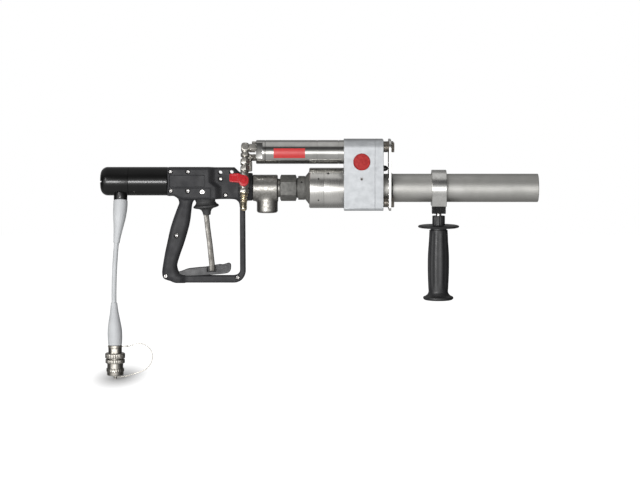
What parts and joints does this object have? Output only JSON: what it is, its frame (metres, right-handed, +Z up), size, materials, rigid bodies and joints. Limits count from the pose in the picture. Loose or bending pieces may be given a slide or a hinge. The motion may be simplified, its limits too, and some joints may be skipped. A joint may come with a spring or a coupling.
{
  "type": "rotary water jetting gun",
  "caption": "Water jetting gun with a shoulder stock, a trigger grip in a hand guard, an air motor and gearbox that spin a lance inside the barrel, a clamped side handle and a signal cable.",
  "frame": {"origin": "The middle of the pistol grip, on the gun's middle plane.", "axes": "+X along the barrel towards the muzzle, +Y to the operator's left, +Z up."},
  "size_m": [0.785, 0.0941, 0.4291],
  "materials": {
    "black_anodised": "black anodised, satin",
    "grey_cable_jacket": "light grey, matt",
    "nickel_plate": "nickel plated, slightly dull",
    "insulator": "moulded insulator with metal contacts",
    "wire_rope": "fine stainless wire",
    "housing_plastic": "dark grey, fine textured",
    "screw_steel": "bright",
    "sensor_plastic": "moulded",
    "cast_trigger": "investment cast, blasted",
    "black_rubber": "matt",
    "spring_steel": "drawn wire",
    "latch_plastic": "moulded",
    "stainless_cast": "stainless, tumbled",
    "dark_steel": "darkened steel",
    "seal_polymer": "filled polymer",
    "stainless_turned": "fine turned",
    "stainless_ground": "fine ground",
    "bearing_steel": "ground",
    "lance_steel": "drawn",
    "gear_steel": "hobbed, oiled",
    "insert_metal": "polished inserts",
    "milled_aluminium": "milled and tumbled",
    "fastener_steel": "weathered stainless",
    "black_cap": "moulded",
    "red_badge": "plain red dome",
    "red_label": "plain red film",
    "fitting_steel": "plated fittings",
    "sintered_bronze": "dull plated",
    "red_lever": "red dip coated",
    "brass": "machined brass",
    "blasted_stainless": "bead blasted",
    "plate_stainless": "milled",
    "handle_plastic": "black satin moulding"
  },
  "bodies": {
    "gun": {"stock_rear_cap": "black_anodised", "stock_tube": "black_anodised", "cable_gland": "black_anodised", "cable_upper_boot": "grey_cable_jacket", "cable": "grey_cable_jacket", "cable_lower_boot": "grey_cable_jacket", "connector_shell": "nickel_plate", "connector_insert": "insulator", "lanyard": "wire_rope", "grip_shell_right": "housing_plastic", "grip_shell_left": "housing_plastic", "housing_screws": "screw_steel", "trigger_sensor": "sensor_plastic", "trigger_pin": "screw_steel", "trigger_boot": "black_rubber", "trigger_spring": "spring_steel", "latch_pin": "screw_steel", "latch_spring": "spring_steel", "water_block": "stainless_cast", "union_nut": "dark_steel", "packing_gland": "dark_steel", "seal_rings": "seal_polymer", "swivel_housing": "stainless_turned", "bearing_outer_rings": "bearing_steel", "lance_guide": "seal_polymer", "gearbox_body": "milled_aluminium", "gearbox_cover": "milled_aluminium", "gearbox_fasteners": "fastener_steel", "grease_nipple": "black_cap", "badge": "red_badge", "idler_shaft": "gear_steel", "motor_rear_cap": "stainless_ground", "motor_cylinder": "stainless_ground", "motor_front_ring": "stainless_ground", "motor_label": "red_label", "air_elbow": "fitting_steel", "exhaust_silencer": "sintered_bronze", "air_valve": "fitting_steel", "air_nipple": "brass", "barrel_tube": "blasted_stainless", "flange_plate": "plate_stainless", "standoffs": "fastener_steel"},
    "trigger_lever": {"trigger": "cast_trigger"},
    "latch": {"safety_latch": "latch_plastic"},
    "valve_handle": {"valve_lever": "red_lever", "valve_ball": "fitting_steel"},
    "lance": {"lance_tube": "lance_steel", "lance_gear": "gear_steel", "nozzle_head": "lance_steel", "nozzle_inserts": "insert_metal", "bearing_inner_rings": "bearing_steel", "bearing_balls": "bearing_steel"},
    "idler": {"idler_gear": "gear_steel"},
    "motor_shaft": {"motor_rotor": "gear_steel", "motor_pinion": "gear_steel"},
    "front_handle": {"clamp_ring": "plate_stainless", "handle_stud": "screw_steel", "side_handle": "handle_plastic"},
    "coupling_ring": {"connector_ring": "nickel_plate"},
    "connector_cap": {"dust_cap": "nickel_plate"}
  },
  "joints": [
    {"name": "trigger_pull", "type": "hinge", "parent": "gun", "child": "trigger_lever", "pos_m": [0.0476, 0, 0.0842], "axis": [0, 1, 0], "range_deg": [0, 12], "stiffness_Nm_per_rad": 3.5, "springref_deg": -11.46, "deforming": ["trigger_boot", "trigger_spring"]},
    {"name": "latch_press", "type": "hinge", "parent": "gun", "child": "latch", "pos_m": [-0.0194, 0, -0.068], "axis": [0, 1, 0], "range_deg": [0, 5.5], "stiffness_Nm_per_rad": 0.8, "springref_deg": -17.19, "deforming": ["latch_spring"]},
    {"name": "air_valve_turn", "type": "hinge", "parent": "gun", "child": "valve_handle", "pos_m": [0.1223, -0.03348, 0.10299], "axis": [0, -0.9397, 0.342], "range_deg": [0, 90]},
    {"name": "lance_spin", "type": "hinge", "parent": "gun", "child": "lance", "pos_m": [0.264, 0, 0.09], "axis": [1, 0, 0], "continuous": true},
    {"name": "idler_spin", "type": "hinge", "parent": "gun", "child": "idler", "pos_m": [0.324, 0, 0.1305], "axis": [1, 0, 0], "continuous": true},
    {"name": "motor_spin", "type": "hinge", "parent": "gun", "child": "motor_shaft", "pos_m": [0.204, 0, 0.1545], "axis": [1, 0, 0], "continuous": true},
    {"name": "side_handle_swing", "type": "hinge", "parent": "gun", "child": "front_handle", "pos_m": [0.471, 0, 0.09], "axis": [1, 0, 0], "range_deg": [-180, 180]},
    {"name": "coupling_ring_turn", "type": "hinge", "parent": "gun", "child": "coupling_ring", "pos_m": [-0.1102, -0.027, -0.215], "axis": [0, 0, 1], "continuous": true},
    {"name": "dust_cap_off", "type": "slide", "parent": "gun", "child": "connector_cap", "axis": [0, 0, -1], "range_m": [0, 0.02], "deforming": ["lanyard"]}
  ],
  "couplings": [
    {"joint": "idler_spin", "follows": "lance_spin", "ratio": -2.375},
    {"joint": "motor_spin", "follows": "lance_spin", "ratio": 2.375}
  ]
}
